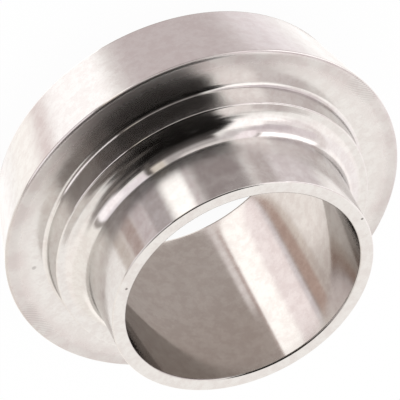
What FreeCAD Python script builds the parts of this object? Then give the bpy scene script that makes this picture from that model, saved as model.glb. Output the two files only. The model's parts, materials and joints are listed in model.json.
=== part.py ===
import FreeCAD, Part
import math
import os

# Plain cone liner of a dairy pipe union, turned in one piece from stainless steel.
# It stands on its gasket face at z = 0, with the weld tube pointing up the Z axis.
# Lengths are in millimetres and angles in degrees.

# Weld tube, which is butt welded to the pipe
tube_diameter = 29.0
tube_wall = 1.5
tube_length = 9.1

# Centring step, which the union nut's hole runs on
step_width = 2.9
step_height = 2.9

# Collar, which the nut pulls into the cone seat of the other half
collar_width = 4.6
collar_thickness = 9.5
cone_half_angle = 15.0

# Radii of the rounded corners
collar_edge_rounding = 0.35
step_root_rounding = 0.5
tube_root_rounding = 2.2

# Legs of the bevels that take the burr off the other corners
front_bore_bevel = 0.25
front_edge_bevel = 0.3
step_edge_bevel = 0.15
weld_edge_bevel = 0.06
weld_bore_bevel = 0.18

# The share of a side that its two corners may take up together
corner_room = 0.98

# Radii and heights that follow from the driving dimensions
tube_radius = tube_diameter / 2
bore_radius = tube_radius - tube_wall
step_radius = tube_radius + step_width
collar_radius = step_radius + collar_width
cone_front_radius = collar_radius - collar_thickness * math.tan(math.radians(cone_half_angle))
step_top = collar_thickness + step_height
weld_end = step_top + tube_length


def outline_corners():
    """Give the half section's corners as radius, height, kind of corner and its size."""
    return [
        (bore_radius, 0.0, "bevel", front_bore_bevel),
        (cone_front_radius, 0.0, "bevel", front_edge_bevel),
        (collar_radius, collar_thickness, "round", collar_edge_rounding),
        (step_radius, collar_thickness, "round", step_root_rounding),
        (step_radius, step_top, "bevel", step_edge_bevel),
        (tube_radius, step_top, "round", tube_root_rounding),
        (tube_radius, weld_end, "bevel", weld_edge_bevel),
        (bore_radius, weld_end, "bevel", weld_bore_bevel),
    ]


def half_corner_angle(before, corner, after):
    """Give half the angle between the two sides that meet at a corner."""
    return (before - corner).getAngle(after - corner) / 2


def wanted_reach(before, corner, after, kind, size):
    """Give how far a bevel or rounding reaches along the two sides of its corner."""
    if kind == "bevel":
        return size
    return size / math.tan(half_corner_angle(before, corner, after))


def fitting_reaches(points, reaches):
    """Keep the two reaches on each side within the length of that side."""
    shares = [1.0] * len(points)
    for last in range(-1, len(points) - 1):
        room = corner_room * points[last].distanceToPoint(points[last + 1])
        share = min(1.0, room / (reaches[last] + reaches[last + 1]))
        shares[last] = min(shares[last], share)
        shares[last + 1] = min(shares[last + 1], share)
    return [reach * share for reach, share in zip(reaches, shares)]


def corner_curve(before, corner, after, kind, reach):
    """Give the straight bevel or tangent arc that replaces a sharp corner."""
    to_before = (before - corner).normalize()
    to_after = (after - corner).normalize()
    start = corner + to_before * reach
    end = corner + to_after * reach
    if kind == "bevel":
        return Part.LineSegment(start, end)
    half_angle = half_corner_angle(before, corner, after)
    radius = reach * math.tan(half_angle)
    to_centre = (to_before + to_after).normalize()
    middle = corner + to_centre * (radius / math.sin(half_angle) - radius)
    return Part.Arc(start, middle, end)


def section_wire(corners):
    """Join straight sides, bevels and arcs into the closed wire of the half section."""
    count = len(corners)
    points = [FreeCAD.Vector(radius, 0, height) for radius, height, kind, size in corners]
    kinds = [kind for radius, height, kind, size in corners]
    sizes = [size for radius, height, kind, size in corners]
    trios = [(points[i - 1], points[i], points[(i + 1) % count]) for i in range(count)]
    reaches = [wanted_reach(*trios[i], kinds[i], sizes[i]) for i in range(count)]
    reaches = fitting_reaches(points, reaches)
    curves = [corner_curve(*trios[i], kinds[i], reaches[i]) for i in range(count)]
    edges = []
    for i in range(count):
        side = Part.LineSegment(curves[i - 1].EndPoint, curves[i].StartPoint)
        edges.append(side.toShape())
        edges.append(curves[i].toShape())
    return Part.Wire(edges)


def cone_liner():
    """Turn the half section about the axis into the one solid piece."""
    section = Part.Face(section_wire(outline_corners()))
    return section.revolve(FreeCAD.Vector(0, 0, 0), FreeCAD.Vector(0, 0, 1), 360)


os.makedirs("parts", exist_ok=True)
liner = cone_liner()
liner.exportStep("parts/cone_liner.step")
print("cone_liner: valid", liner.isValid(), "solids", len(liner.Solids))
print("volume mm3", round(liner.Volume, 1), "height mm", round(liner.BoundBox.ZLength, 3))
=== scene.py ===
"""Cone liner of a dairy pipe union, turned in one piece from stainless steel.

The liner stands on its gasket face in a white light tent. Lengths are in metres, and the
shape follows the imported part's own box and mounts.
"""
import json
import math

import bmesh
import bpy
from bpy.props import FloatProperty, FloatVectorProperty, IntProperty, PointerProperty
from mathutils import Matrix, Vector


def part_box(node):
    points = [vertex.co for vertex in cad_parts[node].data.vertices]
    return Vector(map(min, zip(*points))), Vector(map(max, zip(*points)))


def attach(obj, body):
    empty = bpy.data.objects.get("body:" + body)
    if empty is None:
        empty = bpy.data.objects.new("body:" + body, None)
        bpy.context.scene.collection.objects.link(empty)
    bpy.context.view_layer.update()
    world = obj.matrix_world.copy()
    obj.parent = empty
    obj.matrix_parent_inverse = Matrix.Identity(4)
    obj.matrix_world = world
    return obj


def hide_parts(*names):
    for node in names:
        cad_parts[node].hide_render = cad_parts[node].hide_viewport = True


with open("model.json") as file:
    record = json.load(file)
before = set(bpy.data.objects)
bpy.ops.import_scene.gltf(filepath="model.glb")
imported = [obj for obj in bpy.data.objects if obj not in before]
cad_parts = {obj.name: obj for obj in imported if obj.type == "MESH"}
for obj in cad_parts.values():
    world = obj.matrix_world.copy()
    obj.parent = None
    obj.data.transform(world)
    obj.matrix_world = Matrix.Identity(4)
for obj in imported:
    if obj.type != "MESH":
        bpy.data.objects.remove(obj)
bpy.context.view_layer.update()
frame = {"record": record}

bl_info = {
    "name": "Dairy Union Cone Liner",
    "version": (1, 0, 0),
    "blender": (4, 5, 0),
    "location": "View3D > Sidebar > Cone Liner",
    "description": "Builds the turned cone liner, its steel finish and a light tent",
    "category": "Object",
}

MM = 0.001
NODE = "cone_liner"
BODY = "root"
SLOT = "turned_steel"
PIECE = "turned_liner"


def mount(name):
    """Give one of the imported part's mounts."""
    return next(m for m in frame["record"]["mounts"] if m["name"] == name)


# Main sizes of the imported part
weld_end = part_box(NODE)[1].z
tube_radius = mount("weld_tube")["dims"]["r_mm"] * MM
bore_radius = mount("product_bore")["dims"]["r_mm"] * MM
step_radius = mount("nut_step")["dims"]["r_mm"] * MM
shoulder_height = mount("nut_shoulder")["pos_m"][2]


class LinerSizes(bpy.types.PropertyGroup):
    """Sizes of the turned outline."""

    tube_radius: FloatProperty(
        name="Tube radius", description="Outside radius of the weld tube",
        default=tube_radius, unit="LENGTH", subtype="DISTANCE")
    bore_radius: FloatProperty(
        name="Bore radius", description="Radius of the product bore",
        default=bore_radius, unit="LENGTH", subtype="DISTANCE")
    step_radius: FloatProperty(
        name="Step radius", description="Radius of the step that centres the nut",
        default=step_radius, unit="LENGTH", subtype="DISTANCE")
    step_height: FloatProperty(
        name="Step height", description="Height of the step above the collar",
        default=2.9 * MM, unit="LENGTH", subtype="DISTANCE")
    collar_radius: FloatProperty(
        name="Collar radius", description="Radius of the collar's sharp rear corner",
        default=22.0 * MM, unit="LENGTH", subtype="DISTANCE")
    cone_angle: FloatProperty(
        name="Cone angle", description="Angle of the seat cone from the axis",
        default=math.radians(15.0), unit="ROTATION", subtype="ANGLE")
    weld_edge: FloatProperty(
        name="Weld edge", description="Broken edge on the outside of the weld end",
        default=0.13 * MM, unit="LENGTH", subtype="DISTANCE")
    weld_bore_edge: FloatProperty(
        name="Weld bore edge", description="Broken edge on the inside of the weld end",
        default=0.18 * MM, unit="LENGTH", subtype="DISTANCE")
    tube_root: FloatProperty(
        name="Tube root", description="Radius of the hollow between step and tube",
        default=2.2 * MM, unit="LENGTH", subtype="DISTANCE")
    step_edge: FloatProperty(
        name="Step edge", description="Broken edge of the step",
        default=0.15 * MM, unit="LENGTH", subtype="DISTANCE")
    step_root: FloatProperty(
        name="Step root", description="Radius of the hollow between collar and step",
        default=0.5 * MM, unit="LENGTH", subtype="DISTANCE")
    collar_edge: FloatProperty(
        name="Collar edge", description="Radius of the collar's rear edge",
        default=0.35 * MM, unit="LENGTH", subtype="DISTANCE")
    front_edge: FloatProperty(
        name="Front edge", description="Broken edge between cone and gasket face",
        default=0.3 * MM, unit="LENGTH", subtype="DISTANCE")
    front_bore_edge: FloatProperty(
        name="Front bore edge", description="Broken edge of the bore at the gasket face",
        default=0.25 * MM, unit="LENGTH", subtype="DISTANCE")
    ring_steps: IntProperty(
        name="Ring steps", description="Flats round the whole turn", default=360, min=24)
    corner_steps: IntProperty(
        name="Corner steps", description="Flats in a quarter turn of a small corner",
        default=6, min=2)
    root_steps: IntProperty(
        name="Root steps", description="Flats in the large hollow at the tube's root",
        default=20, min=4)
    edge_strip: FloatProperty(
        name="Edge strip", description="Narrow strip that keeps the flat faces flat",
        default=0.03 * MM, unit="LENGTH", subtype="DISTANCE")


class SteelFinish(bpy.types.PropertyGroup):
    """Colour and surface of the turned steel."""

    colour: FloatVectorProperty(
        name="Steel", description="Colour of the clean steel",
        default=(0.735, 0.725, 0.71), size=3, min=0, max=1, subtype="COLOR")
    dull_colour: FloatVectorProperty(
        name="Dull steel", description="Colour of the faintly stained clouds",
        default=(0.715, 0.69, 0.675), size=3, min=0, max=1, subtype="COLOR")
    pit_colour: FloatVectorProperty(
        name="Pits", description="Colour of the small pits",
        default=(0.12, 0.105, 0.10), size=3, min=0, max=1, subtype="COLOR")
    # Painted shade: the bore's colour is darkened to this share, which darkens its reflections
    bore_painted_shade: FloatVectorProperty(
        name="Bore shade", description="Share of each colour that the duller bore keeps",
        default=(0.78, 0.77, 0.76), size=3, min=0, max=1, subtype="COLOR")
    # The bore's painted shade, its stains and its smoother finish all lie within this radius
    bore_reach: FloatProperty(
        name="Bore reach", description="Radius within which the steel is dull",
        default=bore_radius + 0.02 * MM, unit="LENGTH", subtype="DISTANCE")
    bore_fade: FloatProperty(
        name="Bore fade", description="Width outside that radius over which it clears",
        default=0.2 * MM, unit="LENGTH", subtype="DISTANCE")
    cloud_tone: FloatProperty(
        name="Cloud tone", description="Share of light kept in the dullest clouds",
        default=0.965, min=0, max=1, subtype="FACTOR")
    grain_tone: FloatProperty(
        name="Grain tone", description="Share of light kept in the darkest grain",
        default=0.975, min=0, max=1, subtype="FACTOR")
    rim_tone: FloatProperty(
        name="Rim tone", description="Share of light kept in the worn band at the collar's rim",
        default=0.935, min=0, max=1, subtype="FACTOR")
    worn_colour: FloatVectorProperty(
        name="Worn steel", description="Colour of the worn patches at the collar's rim",
        default=(0.645, 0.60, 0.59), size=3, min=0, max=1, subtype="COLOR")
    stain_tone: FloatProperty(
        name="Stain tone", description="Share of light kept in the stains of the bore",
        default=0.96, min=0, max=1, subtype="FACTOR")
    hatch_tone: FloatProperty(
        name="Hatch tone", description="Share of light kept in the scratched strokes",
        default=0.82, min=0, max=1, subtype="FACTOR")
    roughness: FloatProperty(
        name="Roughness", description="Roughness of the polished turning",
        default=0.13, min=0, max=1, subtype="FACTOR")
    ring_roughness: FloatProperty(
        name="Ring roughness", description="How much the broad rings vary the roughness",
        default=0.06, min=0, max=1, subtype="FACTOR")
    cloud_roughness: FloatProperty(
        name="Cloud roughness", description="How much the clouds vary the roughness",
        default=0.08, min=0, max=1, subtype="FACTOR")
    rear_roughness: FloatProperty(
        name="Rear roughness", description="Roughness that the rear face gains towards its rim",
        default=0.19, min=0, max=1, subtype="FACTOR")
    bore_roughness: FloatProperty(
        name="Bore roughness", description="Share of the roughness that the bore keeps",
        default=0.75, min=0, max=1, subtype="FACTOR")
    ring_depth: FloatProperty(
        name="Ring depth", description="Height of the rings left by the tool",
        default=0.02 * MM, unit="LENGTH", subtype="DISTANCE")
    ring_strength: FloatProperty(
        name="Ring strength", description="How much of the rings' height shows",
        default=0.03, min=0, max=1, subtype="FACTOR")
    edge_tint: FloatProperty(
        name="Edge tint", description="Share of light kept at grazing angles",
        default=0.80, min=0, max=1, subtype="FACTOR")
    grain: FloatProperty(
        name="Grain", description="How much longer reflections get across the marks",
        default=0.7, min=0, max=1, subtype="FACTOR")
    grain_turn: FloatProperty(
        name="Grain turn", description="Turn of the grain from the tangent, in whole turns",
        default=0.25, min=0, max=1)


class StudioSettings(bpy.types.PropertyGroup):
    """Floor, light tent, card below the bore, and camera."""

    elevation: FloatProperty(
        name="Elevation", description="How far the camera looks down",
        default=math.radians(41.67), unit="ROTATION", subtype="ANGLE")
    turn: FloatProperty(
        name="Turn", description="How far the camera is turned about its line of sight",
        default=math.radians(152.12), unit="ROTATION", subtype="ANGLE")
    distance: FloatProperty(
        name="Distance", description="From the camera to the weld end",
        default=1.0382, unit="LENGTH", subtype="DISTANCE")
    aim_right: FloatProperty(
        name="Aim right", description="Picture centre, right of the weld end's centre",
        default=-4.52 * MM, unit="LENGTH", subtype="DISTANCE")
    aim_up: FloatProperty(
        name="Aim up", description="Picture centre, above the weld end's centre",
        default=9.06 * MM, unit="LENGTH", subtype="DISTANCE")
    lens: FloatProperty(
        name="Lens", description="Focal length in millimetres on a 36 mm sensor",
        default=900.0)
    floor_colour: FloatVectorProperty(
        name="Floor", description="Colour of the floor",
        default=(1.0, 1.0, 1.0), size=3, min=0, max=1, subtype="COLOR")
    floor_radius: FloatProperty(
        name="Floor radius", description="Radius of the floor",
        default=6.0, unit="LENGTH", subtype="DISTANCE")
    floor_glow: FloatProperty(
        name="Floor glow", description="Share of the floor that glows instead of taking shadows",
        default=0.95, min=0, max=1, subtype="FACTOR")
    tent_radius: FloatProperty(
        name="Tent radius", description="Radius of the light tent",
        default=0.5, unit="LENGTH", subtype="DISTANCE")
    wall_colour: FloatVectorProperty(
        name="Tent wall", description="Colour of the tent's cloth",
        default=(1.40, 1.35, 1.31), size=3, min=0, max=2, subtype="COLOR")
    brightness: FloatProperty(
        name="Brightness", description="Strength of the tent's light",
        default=0.83, min=0)
    card_brightness: FloatProperty(
        name="Card brightness", description="Strength of the light of the card below the bore",
        default=1.05, min=0)
    card_depth: FloatProperty(
        name="Card depth", description="How far the card hangs below the bore",
        default=6.0 * MM, unit="LENGTH", subtype="DISTANCE")
    card_radius: FloatProperty(
        name="Card radius", description="Radius of the card below the bore",
        default=19.8 * MM, unit="LENGTH", subtype="DISTANCE")
    card_point: FloatProperty(
        name="Card point", description="Where the card's wedges meet, behind the axis",
        default=7.0 * MM, unit="LENGTH", subtype="DISTANCE")
    card_colour: FloatVectorProperty(
        name="Card", description="Colour of the card's grey side",
        default=(0.61, 0.54, 0.505), size=3, min=0, max=2, subtype="COLOR")
    card_far_colour: FloatVectorProperty(
        name="Card front", description="Colour of the grey side's edge towards the camera",
        default=(0.54, 0.46, 0.42), size=3, min=0, max=2, subtype="COLOR")
    rim_colour: FloatVectorProperty(
        name="Card rim", description="Colour of the card's right rim",
        default=(0.76, 0.67, 0.62), size=3, min=0, max=2, subtype="COLOR")


# Outline


def liner_corners(sizes):
    """Give the half section's corners: radius, height, size of the corner, round or not, flats."""
    step_top = shoulder_height + sizes.step_height
    front_radius = sizes.collar_radius - shoulder_height * math.tan(sizes.cone_angle)
    small, large = sizes.corner_steps, sizes.root_steps
    return [
        (sizes.bore_radius, 0.0, sizes.front_bore_edge, False, small),
        (front_radius, 0.0, sizes.front_edge, False, small),
        (sizes.collar_radius, shoulder_height, sizes.collar_edge, True, small * 2),
        (sizes.step_radius, shoulder_height, sizes.step_root, True, small * 2),
        (sizes.step_radius, step_top, sizes.step_edge, False, small),
        (sizes.tube_radius, step_top, sizes.tube_root, True, large),
        (sizes.tube_radius, weld_end, sizes.weld_edge, False, small),
        (sizes.bore_radius, weld_end, sizes.weld_bore_edge, False, small),
    ]


def corner_reach(before, corner, after, size, is_round):
    """Give how far a corner's rounding reaches along its two sides."""
    if not is_round:
        return size
    return size / math.tan((before - corner).angle(after - corner) / 2)


def add_edge_strips(bm, width):
    """Cut a narrow strip off both ends of each long straight side."""
    shortest = 4 * width
    for edge in [e for e in bm.edges if e.calc_length() > shortest]:
        start, end = edge.verts
        length = edge.calc_length()
        cut = bmesh.utils.edge_split(edge, start, width / length)[1]
        rest = next(part for part in cut.link_edges if end in part.verts)
        bmesh.utils.edge_split(rest, end, width / (length - width))


def turned_mesh(sizes):
    """Turn the half section about the axis into one closed mesh."""
    corners = liner_corners(sizes)
    places = [Vector((radius, 0.0, height)) for radius, height, *rest in corners]
    bm = bmesh.new()
    verts = [bm.verts.new(place) for place in places]
    for i in range(len(verts)):
        bm.edges.new((verts[i - 1], verts[i]))
    for i, (size, is_round, flats) in enumerate(corner[2:] for corner in corners):
        after = places[(i + 1) % len(places)]
        reach = corner_reach(places[i - 1], places[i], after, size, is_round)
        bmesh.ops.bevel(
            bm, geom=[verts[i]], affect="VERTICES", offset=reach, offset_type="OFFSET",
            segments=flats, profile=0.5, clamp_overlap=False, material=-1)
    add_edge_strips(bm, sizes.edge_strip)
    bmesh.ops.spin(
        bm, geom=bm.verts[:] + bm.edges[:], cent=(0, 0, 0), axis=(0, 0, 1), dvec=(0, 0, 0),
        angle=math.tau, steps=sizes.ring_steps, use_merge=True, use_duplicate=False)
    same_place = sizes.edge_strip / 100
    bmesh.ops.remove_doubles(bm, verts=bm.verts[:], dist=same_place)
    bmesh.ops.recalc_face_normals(bm, faces=bm.faces[:])
    for face in bm.faces:
        face.smooth = True
    mesh = bpy.data.meshes.new(PIECE)
    bm.to_mesh(mesh)
    bm.free()
    return mesh


# Nodes

# Sockets that a Mix node uses for colours: factor, first and second colour, and result
COLOUR_MIX_INPUTS = (0, 6, 7)
COLOUR_MIX_RESULT = 2


def new_material(name):
    """Give a material with an empty node tree."""
    material = bpy.data.materials.new(name)
    material.use_nodes = True
    material.node_tree.nodes.clear()
    return material


class Nodes:
    """Short calls that add and link the nodes of one tree."""

    def __init__(self, tree):
        self.tree = tree

    def add(self, kind, inputs=None, **settings):
        """Add a node, set its properties, and link or set its inputs."""
        node = self.tree.nodes.new(kind)
        for name, value in settings.items():
            setattr(node, name, value)
        for key, value in (inputs or {}).items():
            if isinstance(value, bpy.types.NodeSocket):
                self.tree.links.new(value, node.inputs[key])
            else:
                node.inputs[key].default_value = value
        return node

    def math(self, operation, *values):
        """Add a Math node and give its result."""
        inputs = dict(enumerate(values))
        return self.add("ShaderNodeMath", inputs, operation=operation).outputs[0]

    def ramp(self, value, low, high, new_low=0.0, new_high=1.0):
        """Ease a value from one range to another."""
        inputs = {"Value": value, "From Min": low, "From Max": high, "To Min": new_low,
                  "To Max": new_high}
        node = self.add("ShaderNodeMapRange", inputs, interpolation_type="SMOOTHSTEP")
        return node.outputs["Result"]

    def dim(self, value, mask, share):
        """Bring a value down to a share of itself where a mask is 1."""
        return self.math("MULTIPLY", value, self.ramp(mask, 0.0, 1.0, 1.0, share))

    def band(self, angle, centre, half_width, edge):
        """Give 1 inside a band of angles and 0 outside, with a soft edge, in degrees."""
        away = self.math("WRAP", self.math("SUBTRACT", angle, centre), 180.0, -180.0)
        away = self.math("ABSOLUTE", away)
        return self.ramp(away, half_width + edge / 2, half_width - edge / 2)

    def noise(self, place, scale, detail, roughness, dimensions="3D"):
        """Add a noise texture and give its value."""
        inputs = {"Vector": place, "Scale": scale, "Detail": detail, "Roughness": roughness}
        return self.add("ShaderNodeTexNoise", inputs, noise_dimensions=dimensions).outputs[0]

    def mix(self, factor, first, second, blend="MIX"):
        """Mix two colours."""
        inputs = dict(zip(COLOUR_MIX_INPUTS, (factor, first, second)))
        node = self.add("ShaderNodeMix", inputs, data_type="RGBA", blend_type=blend)
        return node.outputs[COLOUR_MIX_RESULT]


def opaque(colour):
    """Give a colour with full alpha."""
    return (*colour, 1.0)


# Steel

# Noise textures: features per metre, detail and roughness
NOISES = {
    "rings": (3500.0, 2.0, 0.6),
    "broad rings": (900.0, 2.0, 0.5),
    "clouds": (900.0, 5.0, 0.65),
    "grain": (3500.0, 2.0, 0.6),
    "stains": (450.0, 6.0, 0.7),
}
# Values of a noise or a wave where each ramp begins and where it is full
LEVELS = {
    "cloud tone": (0.36, 0.62),
    "cloud colour": (0.40, 0.58),
    "grain tone": (0.3, 0.7),
    "stains": (0.66, 0.36),
    "worn patches": (0.40, 0.60),
    "strokes": (-0.3, 1.0),
}
# Bands of the collar's rear face, from the radius where each begins to where it is full
REAR_BANDS = {
    "rougher": (17.8 * MM, 21.6 * MM),
    "worn patches": (18.9 * MM, 20.7 * MM),
    "strokes": (19.9 * MM, 20.7 * MM),
    "worn rim": (20.2 * MM, 21.1 * MM),
}
# Heights between which the rear face's marks begin, so that the cone stays clear of them
REAR_HEIGHTS = (shoulder_height - 0.3 * MM, shoulder_height - 0.1 * MM)
# Slanting strokes: radians of their wave for each radian of turn and each metre of radius
STROKES_AROUND = 380.0
STROKES_ACROSS = 16000.0
# Places of the strokes: azimuth, half width and soft edge, in degrees
STROKE_PLACES = ((8.0, 8.0, 5.0), (-166.0, 6.0, 5.0))
# Small pits: place in the part's frame and radius in millimetres, and how dark they are
PITS = (
    (10.76, -8.35, 21.5, 0.20, 0.8),
    (-14.20, -0.78, 21.5, 0.20, 0.8),
    (18.37, -4.49, 9.5, 0.34, 0.35),
)
# Share of a pit's radius within which it is darkest
PIT_CORE = 0.4


def surface_places(nodes):
    """Give the place on the piece, its radius, its height and its turn about the axis."""
    place = nodes.add("ShaderNodeTexCoord").outputs["Object"]
    split = nodes.add("ShaderNodeSeparateXYZ", {0: place})
    across = nodes.add("ShaderNodeCombineXYZ", {0: split.outputs["X"], 1: split.outputs["Y"]})
    radius = nodes.add("ShaderNodeVectorMath", {0: across.outputs[0]},
                       operation="LENGTH").outputs["Value"]
    turn = nodes.math("ARCTAN2", split.outputs["Y"], split.outputs["X"])
    return place, radius, split.outputs["Z"], turn


def scratched_strokes(nodes, radius, turn):
    """Give the slanting strokes that cross the collar's rim in a few places."""
    wave = nodes.math("SINE", nodes.math("ADD", nodes.math("MULTIPLY", turn, STROKES_AROUND),
                                         nodes.math("MULTIPLY", radius, STROKES_ACROSS)))
    degrees = nodes.math("MULTIPLY", turn, math.degrees(1))
    places = nodes.math("MAXIMUM", *[nodes.band(degrees, *place) for place in STROKE_PLACES])
    strokes = nodes.math("MULTIPLY", places, nodes.ramp(radius, *REAR_BANDS["strokes"]))
    return nodes.math("MULTIPLY", strokes, nodes.ramp(wave, *LEVELS["strokes"]))


def add_pits(nodes, place, colour, pit_colour):
    """Darken a colour in the small pits."""
    for x, y, z, size, depth in PITS:
        away = nodes.add("ShaderNodeVectorMath", {0: place, 1: (x * MM, y * MM, z * MM)},
                         operation="DISTANCE").outputs["Value"]
        pit = nodes.ramp(away, size * MM, size * PIT_CORE * MM, 0.0, depth)
        colour = nodes.mix(pit, colour, opaque(pit_colour))
    return colour


def steel_material(finish):
    """Make the steel: tool rings, clouds, a stained bore with painted shade, a worn and scratched
    rim, pits.
    """
    material = new_material(SLOT)
    nodes = Nodes(material.node_tree)
    place, radius, height, turn = surface_places(nodes)
    ring = nodes.add("ShaderNodeCombineXYZ", {0: radius, 1: height}).outputs[0]
    rings = nodes.noise(ring, *NOISES["rings"], dimensions="2D")
    broad = nodes.noise(ring, *NOISES["broad rings"], dimensions="2D")
    clouds = nodes.noise(place, *NOISES["clouds"])
    grain = nodes.noise(place, *NOISES["grain"])
    stains = nodes.noise(place, *NOISES["stains"])

    # Where the marks are: in the bore, which also gets a painted shade, and on the collar's rear
    # face
    inside = nodes.ramp(radius, finish.bore_reach + finish.bore_fade, finish.bore_reach)
    rear = nodes.ramp(height, *REAR_HEIGHTS)
    rougher, patched, rim = (
        nodes.math("MULTIPLY", nodes.ramp(radius, *REAR_BANDS[name]), rear)
        for name in ("rougher", "worn patches", "worn rim"))
    strokes = nodes.math("MULTIPLY", scratched_strokes(nodes, radius, turn), rear)
    stained = nodes.math("MULTIPLY", nodes.ramp(stains, *LEVELS["stains"]), inside)
    worn = nodes.math("MULTIPLY", nodes.ramp(stains, *LEVELS["worn patches"]), patched)

    # How much light the steel keeps, and its colour
    tone = nodes.ramp(clouds, *LEVELS["cloud tone"], finish.cloud_tone, 1.0)
    fine = nodes.ramp(grain, *LEVELS["grain tone"], finish.grain_tone, 1.0)
    tone = nodes.math("MULTIPLY", tone, fine)
    tone = nodes.dim(tone, strokes, finish.hatch_tone)
    tone = nodes.dim(tone, rim, finish.rim_tone)
    tone = nodes.dim(tone, stained, finish.stain_tone)
    grey = nodes.add("ShaderNodeCombineColor", {0: tone, 1: tone, 2: tone}).outputs[0]
    colour = nodes.mix(nodes.ramp(clouds, *LEVELS["cloud colour"]), opaque(finish.dull_colour),
                       opaque(finish.colour))
    colour = nodes.mix(worn, colour, opaque(finish.worn_colour))
    colour = nodes.mix(1.0, colour, grey, "MULTIPLY")
    # Painted shade: the bore's walls are darkened by multiplying their colour
    colour = nodes.mix(inside, colour, opaque(finish.bore_painted_shade), "MULTIPLY")
    colour = add_pits(nodes, place, colour, finish.pit_colour)

    # Roughness, and the height of the rings
    rough = nodes.math("MULTIPLY_ADD", nodes.math("SUBTRACT", broad, 0.5),
                       finish.ring_roughness, finish.roughness)
    rough = nodes.math("MULTIPLY_ADD", nodes.math("SUBTRACT", clouds, 0.5),
                       finish.cloud_roughness, rough)
    rough = nodes.math("MULTIPLY_ADD", rougher, finish.rear_roughness, rough)
    rough = nodes.dim(rough, inside, finish.bore_roughness)
    bump = nodes.add("ShaderNodeBump", {"Height": rings, "Strength": finish.ring_strength,
                                        "Distance": finish.ring_depth})
    around = nodes.add("ShaderNodeTangent", direction_type="RADIAL", axis="Z")
    shader = nodes.add("ShaderNodeBsdfPrincipled", {
        "Base Color": colour, "Metallic": 1.0, "Roughness": rough,
        "Specular Tint": opaque((finish.edge_tint,) * 3),
        "Anisotropic": finish.grain, "Anisotropic Rotation": finish.grain_turn,
        "Tangent": around.outputs[0], "Normal": bump.outputs[0]})
    nodes.add("ShaderNodeOutputMaterial", {"Surface": shader.outputs[0]})
    return material


# Studio

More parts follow.
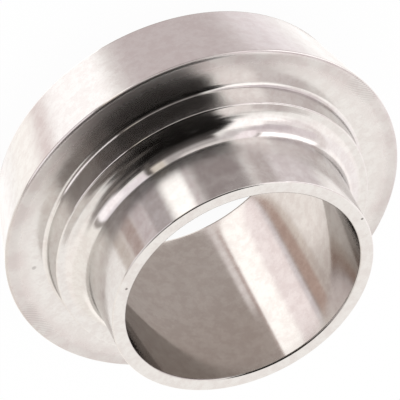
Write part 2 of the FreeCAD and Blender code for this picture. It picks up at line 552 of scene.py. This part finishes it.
# Panels of the light tent. Azimuths are in degrees from the side where the camera stands,
# anticlockwise seen from above, and heights are in degrees above the horizon. A panel leans
# by the last azimuth value, in degrees for each degree of height. Later panels cover
# earlier ones.
# name: (azimuth, half width, soft edge, lean), (height, half height, soft edge), colour
TENT_PANELS = {
    "left pale cloth": ((-140, 22, 8, 0), (5, 36, 12), (1.50, 1.42, 1.42)),
    "left rear cloth": ((-150, 28, 14, 0), (-20, 22, 14), (1.80, 1.71, 1.69)),
    "right cloth": ((116, 37, 8, 0), (4, 36, 10), (1.38, 1.31, 1.24)),
    "right rear cloth": ((156, 22, 16, 0), (-18, 22, 14), (1.82, 1.74, 1.66)),
    "back cloth": ((180, 52, 48, 0), (-43, 6, 4), (1.66, 1.60, 1.56)),
    "back sheet below": ((178, 52, 54, 0), (-70, 23, 4), (1.95, 1.90, 1.88)),
    "left sheet below": ((-112, 20, 24, 0), (-68, 20, 4), (1.55, 1.44, 1.47)),
    "right sheet below": ((112, 15, 12, 0), (-68, 20, 4), (1.75, 1.69, 1.63)),
    "grey sheet below": ((-44, 56, 42, 0), (-72, 24, 4), (0.90, 0.79, 0.79)),
    "bar light below": ((53, 31, 24, 0), (-72, 24, 4), (1.80, 1.75, 1.74)),
    "seam below": ((89, 7, 8, 0), (-68, 20, 6), (1.28, 1.12, 1.10)),
    "left sheet edge": ((-85, 27, 14, 0), (-46, 11.5, 4), (0.97, 0.87, 0.88)),
    "pink sheet edge": ((-61, 9, 14, 0), (-46, 11.5, 4), (0.70, 0.615, 0.595)),
    "grey sheet edge": ((-26, 22, 16, 0), (-46, 11.5, 4), (0.39, 0.33, 0.325)),
    "bright sheet edge": ((-1, 3, 5, 0), (-46, 11.5, 4), (0.90, 0.80, 0.80)),
    "bar light": ((11.5, 9, 7, 0), (-46, 11.5, 4), (2.00, 1.94, 1.90)),
    "dark sheet": ((34, 9.5, 6, 0), (-46, 11.5, 4), (0.55, 0.48, 0.475)),
    "lilac sheet": ((50, 7, 6, 0), (-46, 11.5, 4), (0.80, 0.69, 0.69)),
    "brown seam": ((64, 7, 4, 0), (-46, 11.5, 4), (0.60, 0.46, 0.41)),
    "right sheet edge": ((78, 7, 5, 0), (-46, 11.5, 4), (0.90, 0.79, 0.72)),
    "left rear light": ((-112, 34, 14, 0), (43, 8, 6), (1.30, 1.19, 1.19)),
    "left far light": ((-147, 20, 12, 0), (42, 7, 6), (1.60, 1.53, 1.50)),
    "right rear light": ((115, 47, 16, 0), (43, 8, 6), (1.48, 1.40, 1.34)),
    "left grey cloth": ((-84, 29, 12, -0.55), (12, 19, 8), (1.12, 1.00, 1.02)),
    "left grey fold": ((-76, 16, 12, -0.55), (22, 11, 8), (0.90, 0.79, 0.82)),
    "left seam": ((-116, 4, 5, -0.15), (5, 36, 8), (1.22, 1.12, 1.10)),
    "left low light": ((-89, 23, 4, 0), (-19, 16, 6), (2.15, 2.08, 2.08)),
    "left high light": ((-70, 14.5, 6, -0.75), (47, 18, 8), (1.85, 1.75, 1.73)),
    "left top light": ((-112, 26, 14, 0), (59, 6.5, 6), (1.64, 1.58, 1.55)),
    "left peak light": ((-97, 12, 8, 0), (51, 5, 5), (1.95, 1.86, 1.84)),
    "right top light": ((118, 26, 16, 0), (58, 8, 6), (1.30, 1.24, 1.19)),
    "upright seam left": ((-64.5, 1.8, 3, 0), (-21, 14, 5), (0.72, 0.65, 0.64)),
    "pink cloth left": ((-54, 8.5, 4, 0), (-14, 20.5, 5), (1.54, 1.40, 1.43)),
    "light grey cloth": ((-40, 8, 8, -0.3), (-6, 28.5, 6), (0.98, 0.91, 0.91)),
    "front grey cloth": ((-13, 21, 6, 0), (-13, 21.5, 5), (0.64, 0.59, 0.58)),
    "front light sheet": ((-25, 22, 10, 0), (-26, 9, 6), (1.15, 1.07, 1.04)),
    "front beige cloth": ((15, 6.5, 3, 0), (-12, 22.5, 5), (1.04, 0.95, 0.84)),
    "pink cloth right": ((48, 24, 5, 0), (-13, 21.5, 8), (1.32, 1.22, 1.27)),
    "bright cloth right": ((60, 14, 8, 0), (8, 21, 8), (1.65, 1.55, 1.57)),
    "upright seam right": ((75.5, 3, 3, 0), (-8, 27, 6), (0.50, 0.45, 0.42)),
    "right flank": ((54, 31, 26, 0), (58, 33, 20), (0.28, 0.245, 0.23)),
    "right fold": ((34, 17, 14, 0), (29, 11, 8), (0.14, 0.125, 0.12)),
    "front shade": ((-5, 28, 6, 0), (22, 15, 12), (0.13, 0.115, 0.11)),
    "dark front": ((-4.5, 39.5, 8, -0.8), (38, 12, 8), (0.062, 0.056, 0.054)),
    "dark right": ((36, 24, 26, 0), (66, 20, 10), (0.055, 0.050, 0.048)),
    "right rim light": ((66, 18, 12, 0), (41, 4, 4), (0.45, 0.40, 0.375)),
    "dark post": ((21.5, 2.5, 3, 0), (5, 33, 8), (0.16, 0.14, 0.13)),
    "black cloth left": ((-43, 25, 7, -1.7), (59, 16, 8), (0.010, 0.009, 0.008)),
    "black cloth": ((0, 35, 10, 0), (65, 18, 8), (0.010, 0.009, 0.008)),
    "black cloth overhead": ((0, 400, 5, 0), (90, 21, 8), (0.012, 0.011, 0.010)),
    "right overhead light": ((110, 50, 30, 0), (77, 6, 6), (0.13, 0.115, 0.105)),
}

# Wedges of the card below the bore, which all meet at one point of it. Angles are in degrees
# from the camera side, anticlockwise seen from above.
# name: (angle, half width, soft edge), colour
CARD_WEDGES = {
    "light edge": ((-1.5, 3, 4), (1.15, 1.06, 1.04)),
    "thin seam": ((3, 1.5, 1.5), (0.74, 0.59, 0.55)),
    "bar light": ((17.5, 13, 2), (1.85, 1.79, 1.75)),
    "pink light": ((38.5, 12, 8), (1.48, 1.34, 1.34)),
    "cool line": ((51.5, 2.5, 4), (1.08, 1.00, 1.03)),
    "brown seam": ((63.5, 7.5, 4), (0.68, 0.50, 0.43)),
    "pale brown": ((77, 6, 6), (1.02, 0.90, 0.82)),
    "cream": ((128, 46, 8), (1.38, 1.30, 1.25)),
}
# Shades of the card towards its edge: how far from the wedges' point each begins and is full
CARD_FADE = (8.0 * MM, 20.0 * MM)
RIM_FADE = (9.0 * MM, 18.0 * MM)
FRONT_FADE = (14.0 * MM, 19.0 * MM)
# Wedges within which the last two lie: angle, half width and soft edge
RIM_WEDGE = (110, 38, 8)
FRONT_WEDGE = (-2, 5, 4)
# Flats round the floor, the tent and the card
STAGE_FLATS = 64
# Distances between which the camera sees, in metres
CLIP_START = 0.01
CLIP_END = 100.0


def tent_material(studio):
    """Make the tent's cloth and panels, by the direction in which they are seen."""
    material = new_material("tent_light")
    nodes = Nodes(material.node_tree)
    place = nodes.add("ShaderNodeTexCoord").outputs["Object"]
    facing = nodes.add("ShaderNodeVectorMath", {0: place}, operation="NORMALIZE").outputs[0]
    split = nodes.add("ShaderNodeSeparateXYZ", {0: facing})
    turn = nodes.math("ARCTAN2", split.outputs["X"],
                      nodes.math("MULTIPLY", split.outputs["Y"], -1.0))
    azimuth = nodes.math("MULTIPLY", turn, math.degrees(1))
    height = nodes.math("MULTIPLY", nodes.math("ARCSINE", split.outputs["Z"]), math.degrees(1))
    colour = opaque(studio.wall_colour)
    for (centre, half_width, edge, lean), up, shade in TENT_PANELS.values():
        above = nodes.math("SUBTRACT", height, up[0])
        upright = nodes.math("MULTIPLY_ADD", above, -lean, azimuth)
        mask = nodes.math("MULTIPLY", nodes.band(upright, centre, half_width, edge),
                          nodes.band(height, *up))
        colour = nodes.mix(mask, colour, opaque(shade))
    light = nodes.add("ShaderNodeEmission", {"Color": colour, "Strength": studio.brightness})
    nodes.add("ShaderNodeOutputMaterial", {"Surface": light.outputs[0]})
    return material


def card_material(studio):
    """Make the card below the bore: wedges round one point, a right rim and a front edge."""
    material = new_material("bore_card")
    nodes = Nodes(material.node_tree)
    place = nodes.add("ShaderNodeTexCoord").outputs["Object"]
    split = nodes.add("ShaderNodeSeparateXYZ", {0: place})
    turn = nodes.math("ARCTAN2", split.outputs["X"],
                      nodes.math("SUBTRACT", studio.card_point, split.outputs["Y"]))
    angle = nodes.math("MULTIPLY", turn, math.degrees(1))
    point = (0.0, studio.card_point, 0.0)
    reach = nodes.add("ShaderNodeVectorMath", {0: place, 1: point},
                      operation="DISTANCE").outputs["Value"]
    colour = nodes.mix(nodes.ramp(reach, *CARD_FADE), opaque(studio.card_colour),
                       opaque(studio.card_far_colour))
    for wedge, shade in CARD_WEDGES.values():
        colour = nodes.mix(nodes.band(angle, *wedge), colour, opaque(shade))
    for fade, wedge, shade in ((RIM_FADE, RIM_WEDGE, studio.rim_colour),
                               (FRONT_FADE, FRONT_WEDGE, studio.card_far_colour)):
        mask = nodes.math("MULTIPLY", nodes.ramp(reach, *fade), nodes.band(angle, *wedge))
        colour = nodes.mix(mask, colour, opaque(shade))
    light = nodes.add("ShaderNodeEmission", {"Color": colour,
                                             "Strength": studio.card_brightness})
    nodes.add("ShaderNodeOutputMaterial", {"Surface": light.outputs[0]})
    return material


def floor_material(studio):
    """Make the white floor, which keeps a light shadow."""
    material = new_material("white_floor")
    nodes = Nodes(material.node_tree)
    matt = nodes.add("ShaderNodeBsdfDiffuse", {"Color": opaque(studio.floor_colour)})
    glow = nodes.add("ShaderNodeEmission", {"Color": opaque(studio.floor_colour)})
    both = nodes.add("ShaderNodeMixShader", {0: studio.floor_glow, 1: matt.outputs[0],
                                             2: glow.outputs[0]})
    nodes.add("ShaderNodeOutputMaterial", {"Surface": both.outputs[0]})
    return material


def stage_object(name, bm, material):
    """Turn a bmesh into a stage object that isn't sampled as a lamp."""
    mesh = bpy.data.meshes.new(name)
    bm.to_mesh(mesh)
    bm.free()
    material.cycles.emission_sampling = "NONE"
    mesh.materials.append(material)
    thing = bpy.data.objects.new(name, mesh)
    bpy.context.scene.collection.objects.link(thing)
    return thing


def show_in_steel_only(thing):
    """Hide a stage object from everything but reflections."""
    thing.visible_camera = False
    thing.visible_diffuse = False
    thing.visible_shadow = False


def add_floor(studio):
    """Add the floor, which the steel doesn't mirror."""
    bm = bmesh.new()
    bmesh.ops.create_circle(
        bm, cap_ends=True, radius=studio.floor_radius, segments=STAGE_FLATS)
    floor = stage_object("floor", bm, floor_material(studio))
    floor.visible_glossy = False


def add_tent(studio):
    """Add the light tent round everything."""
    bm = bmesh.new()
    bmesh.ops.create_uvsphere(
        bm, u_segments=STAGE_FLATS, v_segments=STAGE_FLATS // 2, radius=studio.tent_radius)
    for face in bm.faces:
        face.smooth = True
    tent = stage_object("light_tent", bm, tent_material(studio))
    show_in_steel_only(tent)


def add_bore_card(studio):
    """Hang the card below the bore, whose walls mirror it."""
    bm = bmesh.new()
    bmesh.ops.create_circle(
        bm, cap_ends=True, radius=studio.card_radius, segments=STAGE_FLATS)
    card = stage_object("bore_card", bm, card_material(studio))
    card.location.z = -studio.card_depth
    show_in_steel_only(card)


def add_world():
    """Light everything evenly from a white world."""
    world = bpy.data.worlds.new("white_room")
    world.use_nodes = True
    world.node_tree.nodes.clear()
    nodes = Nodes(world.node_tree)
    white = nodes.add("ShaderNodeBackground", {"Color": (1, 1, 1, 1), "Strength": 1.0})
    nodes.add("ShaderNodeOutputWorld", {"Surface": white.outputs[0]})
    world.cycles.sampling_method = "NONE"
    bpy.context.scene.world = world


def add_camera(studio):
    """Stand the camera where the photograph was taken from."""
    tilt = Matrix.Rotation(math.radians(90) - studio.elevation, 3, "X")
    axes = tilt @ Matrix.Rotation(studio.turn, 3, "Z")
    right, up, back = axes.col
    aim = Vector((0, 0, weld_end)) + studio.aim_right * right + studio.aim_up * up
    data = bpy.data.cameras.new("camera")
    data.lens = studio.lens
    data.clip_start = CLIP_START
    data.clip_end = CLIP_END
    camera = bpy.data.objects.new("camera", data)
    camera.matrix_world = Matrix.LocRotScale(aim + studio.distance * back, axes, None)
    bpy.context.scene.collection.objects.link(camera)
    bpy.context.scene.camera = camera


# Add-on


class OBJECT_OT_cone_liner(bpy.types.Operator):
    """Turn the cone liner and give it its steel finish"""

    bl_idname = "object.cone_liner"
    bl_label = "Cone Liner"

    def execute(self, context):
        """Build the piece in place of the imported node."""
        mesh = turned_mesh(context.scene.liner_sizes)
        mesh.materials.append(steel_material(context.scene.steel_finish))
        liner = bpy.data.objects.new(PIECE, mesh)
        context.scene.collection.objects.link(liner)
        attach(liner, BODY)
        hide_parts(NODE)
        return {"FINISHED"}


class OBJECT_OT_liner_stage(bpy.types.Operator):
    """Add the floor, the light tent, the even light and the camera"""

    bl_idname = "object.liner_stage"
    bl_label = "Light Tent and Camera"

    def execute(self, context):
        """Build the stage."""
        studio = context.scene.liner_studio
        add_floor(studio)
        add_tent(studio)
        add_bore_card(studio)
        add_world()
        add_camera(studio)
        context.scene.view_settings.view_transform = "Standard"
        return {"FINISHED"}


class VIEW3D_PT_cone_liner(bpy.types.Panel):
    """Buttons and sizes of the cone liner"""

    bl_label = "Cone Liner"
    bl_space_type = "VIEW_3D"
    bl_region_type = "UI"
    bl_category = "Cone Liner"

    def draw(self, context):
        """List the operators and the values they use."""
        layout = self.layout
        for operator in OPERATORS:
            layout.operator(operator.bl_idname)
        for group in (context.scene.liner_sizes, context.scene.steel_finish,
                      context.scene.liner_studio):
            column = layout.column()
            for name in group.__annotations__:
                column.prop(group, name)


GROUPS = (LinerSizes, SteelFinish, StudioSettings)
OPERATORS = (OBJECT_OT_cone_liner, OBJECT_OT_liner_stage)
CLASSES = (*GROUPS, *OPERATORS, VIEW3D_PT_cone_liner)


def register():
    """Register the classes and their settings."""
    for item in CLASSES:
        bpy.utils.register_class(item)
    bpy.types.Scene.liner_sizes = PointerProperty(type=LinerSizes)
    bpy.types.Scene.steel_finish = PointerProperty(type=SteelFinish)
    bpy.types.Scene.liner_studio = PointerProperty(type=StudioSettings)


def unregister():
    """Take the classes and their settings away."""
    del bpy.types.Scene.liner_studio
    del bpy.types.Scene.steel_finish
    del bpy.types.Scene.liner_sizes
    for item in reversed(CLASSES):
        bpy.utils.unregister_class(item)


def main():
    """Build everything."""
    register()
    bpy.ops.object.cone_liner()
    bpy.ops.object.liner_stage()


if __name__ == "__main__":
    main()
